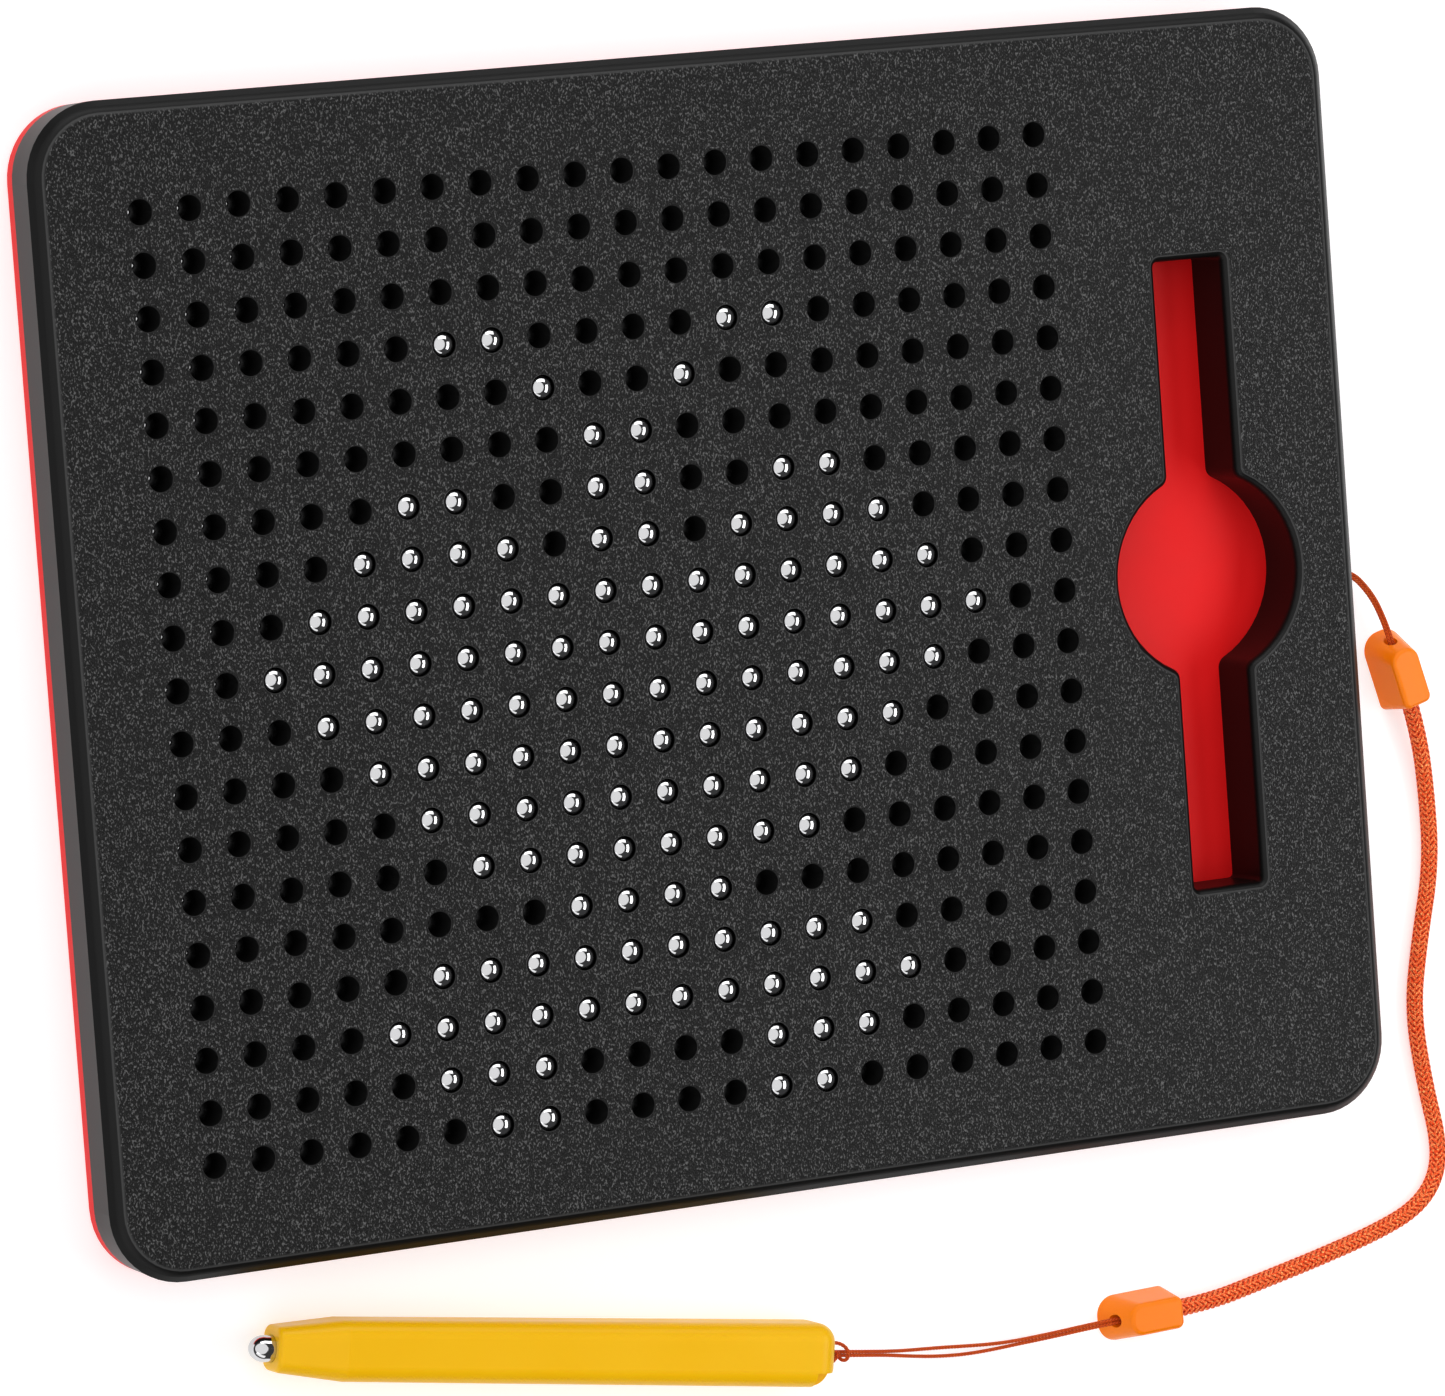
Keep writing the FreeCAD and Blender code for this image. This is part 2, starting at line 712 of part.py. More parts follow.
def make_barrel():
    body = new_stylus_body("stylus_barrel")
    nose = draw_stylus_section(body, "nose", "#tip_reach", "#nose_size")
    shoulder = draw_stylus_section(body, "shoulder", "#tip_reach + #taper_length", "#shoulder_size")
    seam = draw_stylus_section(body, "seam", SEAM_X, "#barrel_size")
    loft = body.newObject("PartDesign::AdditiveLoft", "barrel_loft")
    loft.Profile = nose
    loft.Sections = [shoulder, seam]
    loft.Ruled = True
    doc.recompute()
    cut_along_stylus(body, "bore", "#tip_reach", "#bore_diameter", "#tip_shank + #magnet_length", True)
    cut_along_stylus(body, "hollow", SEAM_X, "#hollow_diameter", "#hollow_length", False)

    def round_the_nose(edge, middle):
        between = (size("bore_diameter") + size("nose_size")) / 4
        outside_bore = math.hypot(middle.y, middle.z) > between
        return edge.BoundBox.XMax < size("tip_reach") + TOLERANCE and outside_bore

    dress(body, "Fillet", "nose_edge", round_the_nose, "#nose_round")


def make_cap():
    """The domed end with its corner step and the two holes that the string's loop goes through."""
    body = new_stylus_body("stylus_cap")
    seam = draw_stylus_section(body, "cap_seam", SEAM_X, "#barrel_size")
    pad(body, seam, "#cap_length")
    end = size("tip_reach") + size("barrel_length") + size("cap_length")

    def at_end(edge, middle):
        return edge.BoundBox.XMin > end - TOLERANCE

    dress(body, "Fillet", "cap_dome", at_end, "#cap_round")
    notch = new_sketch(
        body,
        "notch",
        x=SEAM_X + " + #cap_length - #notch_length",
        y="-#barrel_size / 2 - #overcut",
        z="#notch_ledge - #barrel_size / 2",
    )
    draw_outline(notch, [
        ("0", "0"),
        ("#notch_length + #overcut", "0"),
        ("#notch_length + #overcut", "#notch_width + #overcut"),
        ("0", "#notch_width + #overcut"),
    ])
    cut(body, notch, "#barrel_size")
    passage = new_sketch(body, "string_passage", role="YZ_Plane", z=SEAM_X)
    length = "#string_hole_spacing + #string_hole"
    draw_rounded_rectangle(passage, length, "#string_hole", "#passage_corner")
    cut(body, passage, "#cap_length - #end_wall")
    for count, side in enumerate((1, -1)):
        hole = new_sketch(
            body,
            "string_hole_%d" % count,
            role="YZ_Plane",
            x="%d * #string_hole_spacing / 2" % side,
            z=SEAM_X + " + #cap_length",
        )
        draw_circle(hole, "#string_hole")
        cut(body, hole, "#end_wall", along_normal=False)


def make_tip():
    """The steel tip: an elliptical nose on a plain shank."""
    along_x = FreeCAD.Rotation(Vector(0, 0, 1), Vector(1, 0, 0))
    nose = doc.addObject("Part::Ellipsoid", "tip_nose")
    nose.Angle1 = -90
    nose.Placement.Rotation = along_x
    bind(nose, {
        "Radius1": "#tip_nose",
        "Radius2": "#tip_diameter / 2",
        "Radius3": "#tip_diameter / 2",
        "Placement.Base.x": "#tip_nose",
    })
    shank = doc.addObject("Part::Cylinder", "tip_shank")
    shank.Placement.Rotation = along_x
    bind(shank, {
        "Radius": "#tip_diameter / 2",
        "Height": "#tip_reach + #tip_shank - #tip_nose",
        "Placement.Base.x": "#tip_nose",
    })
    tip = doc.addObject("Part::Fuse", "stylus_tip")
    tip.Base = nose
    tip.Tool = shank
    keep(place_on_stylus(tip), "stylus_tip")


def make_magnet():
    body = new_stylus_body("stylus_magnet")
    disc = new_sketch(body, "magnet_circle", role="YZ_Plane", z="#tip_reach + #tip_shank")
    draw_circle(disc, "#tip_diameter")
    pad(body, disc, "#magnet_length")


# ---------------------------------------------------------------- the lanyard


def route_arc(before, corner, after):
    """The arc that rounds one corner of a route, with its radius."""
    arriving = (corner - before).normalize()
    leaving = (after - corner).normalize()
    half_turn = arriving.getAngle(leaving) / 2
    reach = ARC_REACH * min((corner - before).Length, (after - corner).Length)
    start = corner - arriving * reach
    end = corner + leaving * reach
    toward_centre = (leaving - arriving).normalize()
    radius = reach / math.tan(half_turn)
    middle = corner + toward_centre * (radius / math.cos(half_turn) - radius)
    return Part.Arc(start, middle, end), start, end, radius


def tube_path(route):
    """Straight runs joined by tangent arcs, and the arcs' radii."""
    points = [Vector(*point) for point in route]
    edges = []
    radii = []
    last = points[0]
    for before, corner, after in zip(points, points[1:], points[2:]):
        arc, start, end, radius = route_arc(before, corner, after)
        edges.append(Part.LineSegment(last, start).toShape())
        edges.append(arc.toShape())
        radii.append(radius)
        last = end
    edges.append(Part.LineSegment(last, points[-1]).toShape())
    return Part.Wire(edges), radii


def make_tube(label, route, diameter):
    """A cord as a plain round tube along its route."""
    path, radii = tube_path(route)
    start = Vector(*route[0])
    circle = Part.Circle(start, Vector(*route[1]) - start, diameter / 2)
    section = Part.Wire(circle.toShape())
    solid = path.makePipeShell([section], True, False)
    expected = math.pi * diameter ** 2 / 4 * path.Length
    if abs(solid.Volume / expected - 1) > VOLUME_ERROR:
        raise RuntimeError("%s: volume %.1f, expected %.1f" % (label, solid.Volume, expected))
    print("%s: length %.1f mm, radii %s" % (label, path.Length, [round(radius, 1) for radius in radii]))
    tube = doc.addObject("Part::Feature", label)
    tube.Shape = solid
    tube.Placement = FreeCAD.Placement()
    return keep(tube, label)


def make_clasp(label, x, y, turn):
    """A moulded end piece, string hole at its own origin and strap socket at +X."""
    body = new_body(label)
    blank = "(#clasp_length + #clasp_arch)"
    foot = new_sketch(body, label + "_foot", x=blank + " / 2")
    draw_rounded_rectangle(foot, blank, "#clasp_base", "#clasp_arch")
    crown = new_sketch(body, label + "_crown", x="(%s + #clasp_nose) / 2" % blank, z="#clasp_height")
    crown_arch = "#clasp_arch * #clasp_top / #clasp_base"
    draw_rounded_rectangle(crown, blank + " - #clasp_nose", "#clasp_top", crown_arch)
    loft = body.newObject("PartDesign::AdditiveLoft", label + "_loft")
    loft.Profile = foot
    loft.Sections = [crown]
    loft.Ruled = True
    doc.recompute()

    # the strap end is cut off square
    end = new_sketch(body, label + "_strap_end", role="YZ_Plane", z="#clasp_length")
    cutter_width = "#clasp_base + 2 * #overcut"
    cutter_height = "2 * (#clasp_height + #overcut)"
    draw_rounded_rectangle(end, cutter_width, cutter_height, "#clasp_round")
    cut(body, end, "#clasp_arch + #overcut")

    def strap_end_corner(edge, middle):
        at_end = edge.BoundBox.XMin > size("clasp_length") - TOLERANCE
        return at_end and edge.BoundBox.ZLength > size("clasp_height") / 2

    dress(body, "Fillet", label + "_corners", strap_end_corner, "#clasp_corner")
    dress(body, "Fillet", label + "_rounds", level(size("clasp_height")), "#clasp_round")
    socket = new_sketch(body, label + "_socket", role="YZ_Plane", y="#clasp_axis", z="#clasp_length")
    draw_circle(socket, "#socket_diameter")
    cut(body, socket, "#socket_depth", along_normal=False)
    bore = new_sketch(body, label + "_bore", role="YZ_Plane", y="#clasp_axis")
    draw_circle(bore, "#string_bore")
    cut(body, bore, "#clasp_length - #socket_depth")
    body.Placement = FreeCAD.Placement(Vector(x, y, 0), FreeCAD.Rotation(Vector(0, 0, 1), turn))


def make_knot():
    """The knot inside the board, on the end of the string."""
    knot = doc.addObject("Part::Sphere", "lanyard_knot")
    bind(knot, {"Radius": "#knot_diameter / 2"})
    knot.Placement.Base = Vector(*STRING_ROUTE[0])
    keep(knot, "lanyard_knot")


def make_lanyard():
    make_knot()
    make_tube("lanyard_board_string", STRING_ROUTE, size("string_diameter"))
    make_clasp("lanyard_board_clasp", *BOARD_CLASP)
    make_tube("lanyard_strap", STRAP_ROUTE, size("strap_diameter"))
    make_clasp("lanyard_stylus_clasp", *STYLUS_CLASP)
    make_tube("lanyard_stylus_string", STYLUS_STRING_ROUTE, size("string_diameter"))


# ---------------------------------------------------------------- build, check and write


def check_document():
    """Stop if any object failed or any sub-part's shape is null or not valid."""
    for item in doc.Objects:
        if "Invalid" in item.State or "Error" in item.State:
            raise RuntimeError("%s failed: %s" % (item.Label, item.State))
    for item in nodes:
        if item.Shape.isNull() or not item.Shape.isValid():
            raise RuntimeError("%s has no valid shape" % item.Label)


def write_nodes():
    os.makedirs("parts", exist_ok=True)
    for item in nodes:
        box = item.Shape.BoundBox
        item.Shape.exportStep("parts/%s.step" % item.Label)
        print("%-24s %3d solids %10.1f mm3  x %7.1f %7.1f  y %7.1f %7.1f  z %5.2f %5.2f" % (
            item.Label, len(item.Shape.Solids), item.Shape.Volume,
            box.XMin, box.XMax, box.YMin, box.YMax, box.ZMin, box.ZMax))


make_front_cover()
make_rear_cover()
make_bead_tray()
make_screws()
make_beads()
make_barrel()
make_cap()
make_tip()
make_magnet()
make_lanyard()
doc.recompute()
check_document()
write_nodes()
print(len(nodes), "nodes")
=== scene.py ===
import math

import bpy
import numpy as np
from mathutils import Matrix, Vector


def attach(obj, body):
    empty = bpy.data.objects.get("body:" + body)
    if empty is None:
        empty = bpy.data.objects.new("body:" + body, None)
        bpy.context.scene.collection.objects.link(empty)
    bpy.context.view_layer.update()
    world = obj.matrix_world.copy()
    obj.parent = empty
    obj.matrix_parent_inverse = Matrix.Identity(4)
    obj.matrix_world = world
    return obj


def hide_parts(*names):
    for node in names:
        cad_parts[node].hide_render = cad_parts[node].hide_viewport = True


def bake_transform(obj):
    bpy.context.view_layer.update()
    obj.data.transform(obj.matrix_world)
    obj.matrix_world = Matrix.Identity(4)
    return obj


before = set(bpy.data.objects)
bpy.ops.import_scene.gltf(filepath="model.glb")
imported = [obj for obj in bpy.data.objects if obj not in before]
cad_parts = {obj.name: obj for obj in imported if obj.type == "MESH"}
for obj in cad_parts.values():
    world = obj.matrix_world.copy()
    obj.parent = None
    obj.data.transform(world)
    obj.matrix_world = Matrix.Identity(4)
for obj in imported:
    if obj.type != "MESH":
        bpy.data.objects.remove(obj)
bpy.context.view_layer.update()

# A magnetic bead drawing board lies on its back, with its stylus and lanyard beside it.
# Metres, in the part's own frame: +Z comes out of the front face, +Y runs up the board.

# ---------------------------------------------------------------- the camera

CAMERA_PLACE = Vector((-0.5913, 0.1135, 1.2133))
CAMERA_FORWARD = Vector((0.4374, -0.0926, -0.8945))
CAMERA_UP = Vector((0.1055, 0.9931, -0.0512))
LENS = 209.7  # mm
SENSOR_WIDTH = 36.0  # mm
CLIP_START = 0.05
CLIP_END = 20.0

# ---------------------------------------------------------------- the lanyard

# The routes run from the board toward the stylus.
STRING_ROUTE = [
    (0.1092, -0.0020, 0.0056),
    (0.1162, -0.0022, 0.0055),
    (0.1214, -0.0070, 0.0044),
    (0.1244, -0.0125, 0.0033),
    (0.1259, -0.0177, 0.0032),
    (0.1276, -0.0238, 0.0032),
]
STRAP_ROUTE = [
    (0.1276, -0.0240, 0.0032),
    (0.1297, -0.0315, 0.0029),
    (0.1312, -0.0420, 0.0017),
    (0.1312, -0.0540, 0.0016),
    (0.1280, -0.0665, 0.0016),
    (0.1258, -0.0780, 0.0016),
    (0.1272, -0.0905, 0.0016),
    (0.1293, -0.1010, 0.0016),
    (0.1281, -0.1072, 0.0016),
    (0.1236, -0.1117, 0.0016),
    (0.1155, -0.1146, 0.0016),
    (0.1040, -0.1174, 0.0016),
    (0.0925, -0.1198, 0.0017),
    (0.0822, -0.1216, 0.0029),
    (0.0731, -0.1219, 0.0032),
]
STYLUS_STRING_ROUTE = [
    (0.0728, -0.1219, 0.0032),
    (0.0620, -0.1223, 0.0031),
    (0.0508, -0.1234, 0.0014),
    (0.0402, -0.1238, 0.0009),
    (0.0290, -0.1228, 0.0017),
    (0.0186, -0.1210, 0.0047),
    (0.0102, -0.1198, 0.0052),
]

STRAND_RADIUS = 0.00030
STRAND_STEP = 0.0003  # between the points of a strand's line

# The stylus's strands part over this stretch, in shares of their length, by this much.
PARTING_START = 0.38
PARTING_SHARE = 0.47
PARTING_WIDTH = 0.0008

# The stylus lies along its own x axis, turned and lifted from the row frame.
STYLUS_TURN = Matrix.Rotation(math.radians(-8.5), 4, "Z")
STYLUS_FRAME = Matrix.Translation((-0.0912, -0.1046, 0.0052)) @ STYLUS_TURN
CAP_END = (0.0097, -0.1197, 0.0052)

# The loop that hitches the string to the cap, in the stylus's frame. It comes out of one hole,
# wraps the two strands and goes back into the other.
HITCH_ROUTE = [
    (0.0998, 0.0019, 0.0000),
    (0.1028, 0.0019, 0.0001),
    (0.1047, 0.0015, 0.0006),
    (0.1056, 0.0002, 0.0010),
    (0.1054, -0.0011, 0.0005),
    (0.1048, -0.0011, -0.0006),
    (0.1043, 0.0001, -0.0010),
    (0.1037, 0.0001, 0.0009),
    (0.1029, -0.0018, 0.0002),
    (0.0998, -0.0019, 0.0000),
]

KNOT_PLACE = (0.1092, -0.0020, 0.0056)
KNOT_SCALE = 0.00040  # the trefoil's lobes reach three times this far
KNOT_POINTS = 180

FLOOR_HALF = 4.0
FLOOR_DROP = 0.00005  # keeps the floor just clear of the pieces that rest on it


# ---------------------------------------------------------------- lines and meshes

LINE_RESOLUTION = 24  # points between two of a route's points
LEAST_SIDE = 0.1  # a line that starts nearly upright has no level direction across it
YARN_CORNERS = 8
CORE_CORNERS = 12
MM_PER_M = 1000


def spline_line(name, route):
    """The smooth line of a route, as points read from its NURBS spline."""
    curve = bpy.data.curves.new(name, "CURVE")
    curve.dimensions = "3D"
    curve.resolution_u = LINE_RESOLUTION
    spline = curve.splines.new("NURBS")
    spline.points.add(len(route) - 1)
    for point, place in zip(spline.points, route):
        point.co = (*place, 1.0)
    spline.order_u = 3
    spline.use_endpoint_u = True
    holder = bpy.data.objects.new(name, curve)
    mesh = bpy.data.meshes.new_from_object(holder)
    line = np.array([vertex.co for vertex in mesh.vertices])
    bpy.data.objects.remove(holder)
    bpy.data.curves.remove(curve)
    bpy.data.meshes.remove(mesh)
    return line


def evenly(line, step):
    """The same line with its points about a step apart."""
    along = np.concatenate([[0.0], np.cumsum(np.linalg.norm(np.diff(line, axis=0), axis=1))])
    wanted = np.linspace(0.0, along[-1], max(2, round(along[-1] / step) + 1))
    return np.stack([np.interp(wanted, along, line[:, axis]) for axis in range(3)], axis=1)


def length_of(line):
    return float(np.linalg.norm(np.diff(line, axis=0), axis=1).sum())


def unit(vectors):
    return vectors / np.linalg.norm(vectors, axis=-1, keepdims=True)


def carried_frames(line):
    """Two directions across the line at each point, carried along it without twist."""
    tangents = unit(np.gradient(line, axis=0))
    side = np.cross((0.0, 0.0, 1.0), tangents[0])
    if np.linalg.norm(side) < LEAST_SIDE:
        side = np.array((1.0, 0.0, 0.0))
    sides = []
    for tangent in tangents:
        side = unit(side - tangent * np.dot(side, tangent))
        sides.append(side)
    sides = np.array(sides)
    return sides, np.cross(tangents, sides)


def tube_rings(line, across, outward, half_width, half_depth, corners):
    """Rings of an oval section round a line; both sizes may vary along it."""
    turns = np.linspace(0.0, 2 * math.pi, corners, endpoint=False)
    wide = np.multiply.outer(np.cos(turns), across * half_width)
    deep = np.multiply.outer(np.sin(turns), outward * half_depth)
    return np.swapaxes(line + wide + deep, 0, 1)


class MeshParts:
    """Collects tubes and builds one mesh object from them, with UVs round and along each."""

    def __init__(self):
        self.points = []
        self.faces = []
        self.uvs = []

    def add_tube(self, rings):
        """Join the rings to a tube and close its ends."""
        count, corners, _ = rings.shape
        first = len(self.points)
        self.points.extend(rings.reshape(-1, 3).tolist())
        middles = rings.mean(axis=1)
        along = np.concatenate([[0.0], np.cumsum(np.linalg.norm(np.diff(middles, axis=0), axis=1))])
        for ring in range(count - 1):
            for corner in range(corners):
                following = (corner + 1) % corners
                here = first + ring * corners
                there = here + corners
                self.faces.append((here + corner, here + following, there + following, there + corner))
                left = corner / corners
                right = (corner + 1) / corners
                low = MM_PER_M * along[ring]
                high = MM_PER_M * along[ring + 1]
                self.uvs.extend([(left, low), (right, low), (right, high), (left, high)])
        start = list(range(first, first + corners))
        end = [index + (count - 1) * corners for index in start]
        for cap in (start[::-1], end):
            self.faces.append(tuple(cap))
            self.uvs.extend([(0.0, 0.0)] * corners)

    def build(self, name, material):
        mesh = bpy.data.meshes.new(name)
        mesh.from_pydata(self.points, [], self.faces)
        layer = mesh.uv_layers.new(name="around_and_along")
        layer.data.foreach_set("uv", np.array(self.uvs, np.float32).ravel())
        mesh.polygons.foreach_set("use_smooth", [True] * len(mesh.polygons))
        mesh.materials.append(material)
        mesh.update()
        obj = bpy.data.objects.new(name, mesh)
        bpy.context.scene.collection.objects.link(obj)
        return obj


def add_braid(parts, line, radius, carriers, lay, yarn_width, yarn_depth, wave, step, corners=YARN_CORNERS):
    """A tubular braid: carriers yarns wind each way, each going over two and under two."""
    line = evenly(line, step)
    sides, ups = carried_frames(line)
    along = np.linspace(0.0, length_of(line), len(line))
    for direction in (1, -1):
        for carrier in range(carriers):
            angle = 2 * math.pi * (carrier / carriers + direction * along / lay)
            outward = sides * np.cos(angle)[:, None] + ups * np.sin(angle)[:, None]
            height = radius + direction * wave * np.cos(angle * carriers / 2 - math.pi / 4)
            yarn = line + outward * height[:, None]
            across = unit(np.cross(np.gradient(yarn, axis=0), outward))
            parts.add_tube(tube_rings(yarn, across, outward, yarn_width / 2, yarn_depth / 2, corners))
    core = radius - yarn_depth / 2
    parts.add_tube(tube_rings(line, sides, ups, core, core, CORE_CORNERS))


# ---------------------------------------------------------------- materials

# The Mix node has one set of sockets for each data type; these are the colour ones.
MIX_SHARE = 0
MIX_FIRST = 6
MIX_SECOND = 7
MIX_RESULT = 2

# Heights between which the front's grain sets in, just under the front face at 11.5 mm.
GRAIN_START = 0.01142
GRAIN_FULL = 0.01149

# The band on the edge break of each hole, painted lighter as a highlight.
EDGE_START = 0.01134
EDGE_FULL = 0.01138

GLOSS_SPREAD = 0.04  # how far a moulded plastic's roughness varies


def feed(tree, socket, value):
    """Link a node's output to a socket, or set the socket to a plain value."""
    if isinstance(value, bpy.types.NodeSocket):
        tree.links.new(value, socket)
    else:
        socket.default_value = value


def add_node(tree, kind, inputs=None, **settings):
    """Add a shader node; each input is a value or another node's output."""
    node = tree.nodes.new("ShaderNode" + kind)
    for name, value in settings.items():
        setattr(node, name, value)
    for name, value in (inputs or {}).items():
        feed(tree, node.inputs[name], value)
    return node


def new_material(name, **inputs):
    """A Principled material; underscores in the names stand for spaces."""
    material = bpy.data.materials.new(name)
    material.use_nodes = True
    shader = material.node_tree.nodes["Principled BSDF"]
    for socket, value in inputs.items():
        shader.inputs[socket.replace("_", " ")].default_value = value
    return material, material.node_tree, shader


def object_coordinates(tree):
    return add_node(tree, "TexCoord").outputs["Object"]


def noise(tree, vector, scale, detail=2.0, roughness=0.5):
    inputs = {"Vector": vector, "Scale": scale, "Detail": detail, "Roughness": roughness}
    return add_node(tree, "TexNoise", inputs).outputs["Fac"]


def map_range(tree, value, from_min, from_max, to_min, to_max):
    inputs = {
        "Value": value,
        "From Min": from_min,
        "From Max": from_max,
        "To Min": to_min,
        "To Max": to_max,
    }
    return add_node(tree, "MapRange", inputs).outputs["Result"]


def arithmetic(tree, operation, *values):
    node = add_node(tree, "Math", operation=operation)
    for socket, value in zip(node.inputs, values):
        feed(tree, socket, value)
    return node.outputs["Value"]


def blend_colors(tree, share, first, second):
    """Mix two colours, each a triple or another node's output."""
    node = add_node(tree, "Mix", data_type="RGBA")
    feed(tree, node.inputs[MIX_SHARE], share)
    for index, color in ((MIX_FIRST, first), (MIX_SECOND, second)):
        feed(tree, node.inputs[index], (*color, 1.0) if isinstance(color, tuple) else color)
    return node.outputs[MIX_RESULT]


def bump(tree, shader, height, strength, distance):
    node = add_node(tree, "Bump", {"Height": height, "Strength": strength, "Distance": distance})
    feed(tree, shader.inputs["Normal"], node.outputs["Normal"])


def case_plastic():
    """Black plastic: short grain on the flat front with painted glints on it, smooth on the bevel and in the
    recess; a painted highlight lightens the edge break of each hole.
    """
    material, tree, shader = new_material("case_plastic", Roughness=0.38, Specular_IOR_Level=0.2)
    place = object_coordinates(tree)
    height = add_node(tree, "SeparateXYZ", {"Vector": place}).outputs["Z"]
    flat = map_range(tree, height, GRAIN_START, GRAIN_FULL, 0.0, 1.0)
    strokes = add_node(tree, "Mapping", {"Vector": place, "Scale": (1.0, 0.6, 1.0)}).outputs["Vector"]
    grain = noise(tree, strokes, 3800.0, detail=1.0)
    relief = arithmetic(tree, "MULTIPLY", grain, flat)
    bump(tree, shader, relief, 1.0, 0.0002)
    # Painted glints: the grain's high spots are painted lighter, as if light caught them.
    painted_glint = arithmetic(tree, "MULTIPLY", map_range(tree, grain, 0.55, 0.70, 0.0, 1.0), flat)
    edge = map_range(tree, height, EDGE_START, EDGE_FULL, 0.0, 1.0)
    # Painted highlight: the edge break of each hole is painted lighter than the black face.
    painted_rim_highlight = arithmetic(tree, "SUBTRACT", edge, flat)
    plain = blend_colors(tree, painted_rim_highlight, (0.003, 0.003, 0.003), (0.045, 0.045, 0.045))
    feed(tree, shader.inputs["Base Color"], blend_colors(tree, painted_glint, plain, (0.11, 0.11, 0.11)))
    return material


def red_plastic():
    """Red satin plastic with a faint unevenness in its gloss."""
    material, tree, shader = new_material("red_plastic", Specular_IOR_Level=0.2)
    place = object_coordinates(tree)
    cloud = noise(tree, place, 60.0, detail=3.0)
    feed(tree, shader.inputs["Roughness"], map_range(tree, cloud, 0.3, 0.7, 0.46, 0.56))
    color = blend_colors(tree, cloud, (0.80, 0.004, 0.005), (0.90, 0.006, 0.007))
    feed(tree, shader.inputs["Base Color"], color)
    bump(tree, shader, noise(tree, place, 2500.0), 0.05, 0.00005)
    return material


def tray_plastic():
    """Plain black plastic of the wells' block."""
    material, tree, shader = new_material(
        "tray_plastic",
        Roughness=0.6,
        Base_Color=(0.006, 0.006, 0.006, 1.0),
    )
    bump(tree, shader, noise(tree, object_coordinates(tree), 1500.0), 0.1, 0.00005)
    return material


def polished_steel():
    """Polished steel with fine wear in its gloss."""
    material, tree, shader = new_material("polished_steel", Metallic=1.0, Base_Color=(0.62, 0.62, 0.63, 1.0))
    wear = noise(tree, object_coordinates(tree), 900.0, detail=4.0)
    feed(tree, shader.inputs["Roughness"], map_range(tree, wear, 0.35, 0.75, 0.05, 0.10))
    return material


def plated_steel(name, color):
    """Plated steel with brushed unevenness."""
    material, tree, shader = new_material(name, Metallic=1.0, Base_Color=(*color, 1.0))
    wear = noise(tree, object_coordinates(tree), 1200.0, detail=4.0)
    feed(tree, shader.inputs["Roughness"], map_range(tree, wear, 0.3, 0.7, 0.28, 0.45))
    bump(tree, shader, wear, 0.1, 0.00003)
    return material


def moulded_plastic(name, dark, light, roughness, soft_depth):
    """Satin moulded plastic; light sinks a little into it."""
    material, tree, shader = new_material(
        name,
        Specular_IOR_Level=0.2,
        Subsurface_Weight=0.1,
        Subsurface_Scale=soft_depth,
        Subsurface_Radius=(1.0, 0.5, 0.1),
    )
    place = object_coordinates(tree)
    cloud = noise(tree, place, 90.0, detail=3.0)
    gloss = map_range(tree, cloud, 0.3, 0.7, roughness - GLOSS_SPREAD, roughness + GLOSS_SPREAD)
    feed(tree, shader.inputs["Base Color"], blend_colors(tree, cloud, dark, light))
    feed(tree, shader.inputs["Roughness"], gloss)
    bump(tree, shader, noise(tree, place, 3000.0), 0.06, 0.00004)
    return material


def yarn(name, gap, body, painted_crest_sheen):
    """Synthetic yarn: its colour is painted with shade where it dips between its neighbours and with sheen
    flecks on the top of each yarn.
    """
    material, tree, shader = new_material(name, Roughness=0.5, Specular_IOR_Level=0.15)
    around = add_node(tree, "TexCoord").outputs["UV"]
    turn = add_node(tree, "SeparateXYZ", {"Vector": around}).outputs["X"]
    outward = arithmetic(tree, "SINE", arithmetic(tree, "MULTIPLY", turn, 2 * math.pi))
    # Painted light: the outward face of each yarn is painted lighter, and its sides darker as shade.
    shade = map_range(tree, outward, 0.25, 0.9, 0.0, 1.0)
    stretched = add_node(tree, "Mapping", {"Vector": around, "Scale": (9.0, 1.2, 1.0)}).outputs["Vector"]
    filaments = noise(tree, stretched, 2.0, detail=2.0)
    # Painted sheen: light flecks along the filaments on the outward face.
    painted_glint = arithmetic(tree, "MULTIPLY", map_range(tree, filaments, 0.52, 0.63, 0.0, 1.0), shade)
    color = blend_colors(tree, painted_glint, blend_colors(tree, shade, gap, body), painted_crest_sheen)
    feed(tree, shader.inputs["Base Color"], color)
    bump(tree, shader, filaments, 0.5, 0.00006)
    return material


def floor_paper():
    """White paper, lit a little from behind so that its shadows stay soft and pale."""
    material, tree, shader = new_material(
        "floor_paper",
        Roughness=0.9,
        Specular_IOR_Level=0.1,
        Emission_Color=(1.0, 1.0, 1.0, 1.0),
        Emission_Strength=0.50,
    )
    fibres = noise(tree, object_coordinates(tree), 300.0)
    color = blend_colors(tree, fibres, (0.69, 0.69, 0.69), (0.71, 0.71, 0.71))
    feed(tree, shader.inputs["Base Color"], color)
    return material


case = case_plastic()
steel = polished_steel()
# For each yarn the first colour is painted shade and the last is painted sheen.
string_yarn = yarn("string_yarn", (0.24, 0.012, 0.001), (0.66, 0.062, 0.003), (0.90, 0.22, 0.03))
strap_yarn = yarn("strap_yarn", (0.36, 0.006, 0.002), (0.90, 0.065, 0.006), (1.0, 0.58, 0.20))
orange = moulded_plastic("orange_plastic", (0.96, 0.20, 0.0005), (1.0, 0.23, 0.001), 0.24, 0.001)
yellow = moulded_plastic("yellow_plastic", (0.90, 0.48, 0.001), (0.94, 0.52, 0.001), 0.34, 0.001)

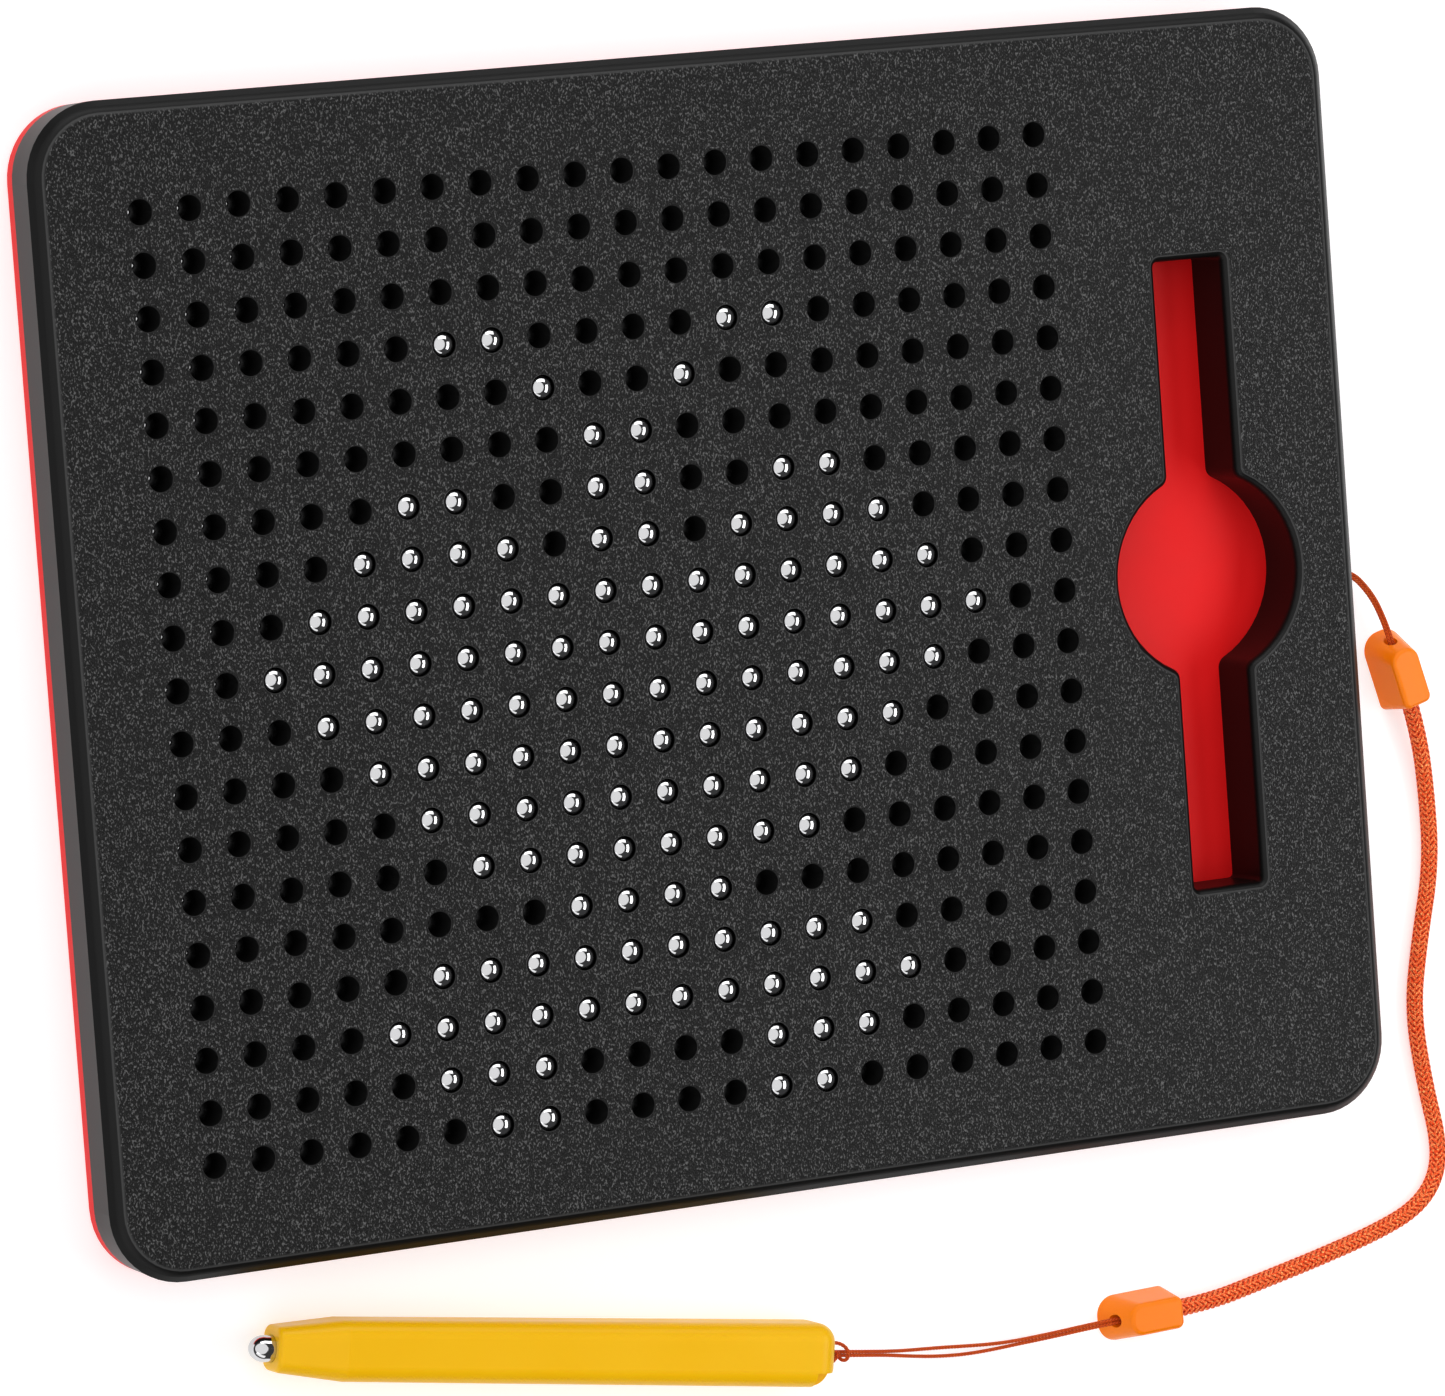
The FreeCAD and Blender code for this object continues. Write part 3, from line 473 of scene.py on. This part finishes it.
NODE_MATERIALS = {
    "front_cover": case,
    "rear_cover": red_plastic(),
    "bead_tray": tray_plastic(),
    "cover_screws": plated_steel("screw_steel", (0.55, 0.55, 0.57)),
    "stylus_barrel": yellow,
    "stylus_cap": yellow,
    "stylus_tip": steel,
    "stylus_magnet": plated_steel("magnet_plating", (0.6, 0.58, 0.55)),
    "lanyard_board_clasp": orange,
    "lanyard_stylus_clasp": orange,
}
for name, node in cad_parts.items():
    if "beads_row" in name:
        node.material_slots[0].material = steel
    elif name in NODE_MATERIALS:
        node.material_slots[0].material = NODE_MATERIALS[name]


# ---------------------------------------------------------------- the cords


def add_strap():
    """The braided cord between the two clasps."""
    line = spline_line("strap_line", STRAP_ROUTE)
    parts = MeshParts()
    add_braid(
        parts,
        line,
        radius=0.00113,
        carriers=8,
        lay=0.0086,
        yarn_width=0.00066,
        yarn_depth=0.00048,
        wave=0.00012,
        step=0.00024,
    )
    strap = parts.build("strap_braid", strap_yarn)
    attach(strap, "board")
    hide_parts("lanyard_strap")


def two_strands(line, gap_at):
    """Two lines beside a line; gap_at gives the gap between them for a share of the length."""
    line = evenly(line, STRAND_STEP)
    tangents = unit(np.gradient(line, axis=0))
    sideways = unit(np.cross((0.0, 0.0, 1.0), tangents))
    share = np.linspace(0.0, 1.0, len(line))
    offset = sideways * (gap_at(share) / 2)[:, None]
    return line + offset, line - offset


def add_strands(name, lines, material):
    """Thin braided strands, each along its own line."""
    parts = MeshParts()
    for line in lines:
        add_braid(
            parts,
            line,
            radius=0.00023,
            carriers=4,
            lay=0.0024,
            yarn_width=0.00027,
            yarn_depth=0.00012,
            wave=0.00003,
            step=0.00012,
            corners=6,
        )
    return parts.build(name, material)


def add_board_string():
    line = spline_line("board_string_line", STRING_ROUTE)
    strands = two_strands(line, lambda share: np.full_like(share, 2 * STRAND_RADIUS))
    string = add_strands("board_string_strands", strands, string_yarn)
    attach(string, "board")
    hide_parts("lanyard_board_string")


def stylus_gap(share):
    """The strands touch near the clasp and the stylus, and part between them."""
    parting = np.clip((share - PARTING_START) / PARTING_SHARE, 0.0, 1.0)
    return 2 * STRAND_RADIUS + PARTING_WIDTH * np.sin(math.pi * parting) ** 2


def add_stylus_string():
    line = spline_line("stylus_string_line", STYLUS_STRING_ROUTE)
    to_the_cap = np.vstack([line, CAP_END])
    string = add_strands("stylus_string_strands", two_strands(to_the_cap, stylus_gap), string_yarn)
    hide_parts("lanyard_stylus_string")
    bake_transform(string)


def add_hitch():
    """The loop that ties the two strands to the bar in the cap's end."""
    route = [tuple(STYLUS_FRAME @ Vector(point)) for point in HITCH_ROUTE]
    hitch = add_strands("stylus_hitch", [spline_line("hitch_line", route)], string_yarn)
    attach(hitch, "stylus")


def add_knot():
    """The overhand knot on the string's end inside the board, drawn as a trefoil."""
    turn = np.linspace(0.0, 2 * math.pi, KNOT_POINTS)
    trefoil = np.stack([
        np.sin(turn) + 2 * np.sin(2 * turn),
        np.cos(turn) - 2 * np.cos(2 * turn),
        -np.sin(3 * turn),
    ], axis=1)
    knot = add_strands("string_knot", [np.array(KNOT_PLACE) + KNOT_SCALE * trefoil], string_yarn)
    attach(knot, "board")
    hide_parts("lanyard_knot")


add_strap()
add_knot()
add_board_string()
add_stylus_string()
add_hitch()


# ---------------------------------------------------------------- camera, floor and lights


def add_camera():
    camera = bpy.data.objects.new("camera", bpy.data.cameras.new("camera"))
    bpy.context.scene.collection.objects.link(camera)
    camera.data.lens = LENS
    camera.data.sensor_width = SENSOR_WIDTH
    camera.data.clip_start = CLIP_START
    camera.data.clip_end = CLIP_END
    right = CAMERA_FORWARD.cross(CAMERA_UP).normalized()
    up = right.cross(CAMERA_FORWARD).normalized()
    axes = Matrix((right, up, -CAMERA_FORWARD.normalized())).transposed()
    camera.matrix_world = Matrix.Translation(CAMERA_PLACE) @ axes.to_4x4()
    bpy.context.scene.camera = camera


def add_floor():
    mesh = bpy.data.meshes.new("floor")
    signs = [(-1, -1), (1, -1), (1, 1), (-1, 1)]
    corners = [(FLOOR_HALF * x, FLOOR_HALF * y, 0) for x, y in signs]
    mesh.from_pydata(corners, [], [(0, 1, 2, 3)])
    floor = bpy.data.objects.new("floor", mesh)
    floor.location.z = -FLOOR_DROP
    mesh.materials.append(floor_paper())
    bpy.context.scene.collection.objects.link(floor)


def add_softbox(name, azimuth, elevation, distance, size, brightness, shape="RECTANGLE"):
    """A light that faces the board; azimuth 0 is +X, and brightness is its radiance."""
    width, height = size
    light = bpy.data.lights.new(name, "AREA")
    light.shape = shape
    light.size = width
    light.size_y = height
    area = width * height * (math.pi / 4 if shape == "ELLIPSE" else 1.0)
    light.energy = brightness * math.pi * area
    obj = bpy.data.objects.new(name, light)
    turn = math.radians(azimuth)
    rise = math.radians(elevation)
    level = math.cos(rise)
    toward = Vector((math.cos(turn) * level, math.sin(turn) * level, math.sin(rise)))
    obj.location = toward * distance
    obj.rotation_euler = (-toward).to_track_quat("-Z", "Y").to_euler()
    obj.visible_camera = False
    bpy.context.scene.collection.objects.link(obj)


def add_lights():
    """One round softbox over the camera, and strips past its top, right and lower left edges."""
    world = bpy.data.worlds.new("studio")
    world.use_nodes = True
    background = world.node_tree.nodes["Background"]
    background.inputs["Color"].default_value = (0.97, 0.98, 1.0, 1.0)
    background.inputs["Strength"].default_value = 0.06
    bpy.context.scene.world = world
    add_softbox("overhead", 168.0, 63.0, 2.4, (5.2, 5.2), 1.05, shape="ELLIPSE")
    add_softbox("top_strip", 80.0, 31.0, 1.6, (1.7, 0.7), 2.6)
    add_softbox("right_strip", -10.0, 44.0, 0.7, (0.62, 0.28), 3.4)
    add_softbox("low_strip", 240.0, 24.0, 1.6, (1.8, 0.6), 1.3)


add_camera()
add_floor()
add_lights()
bpy.context.scene.view_settings.view_transform = "Standard"
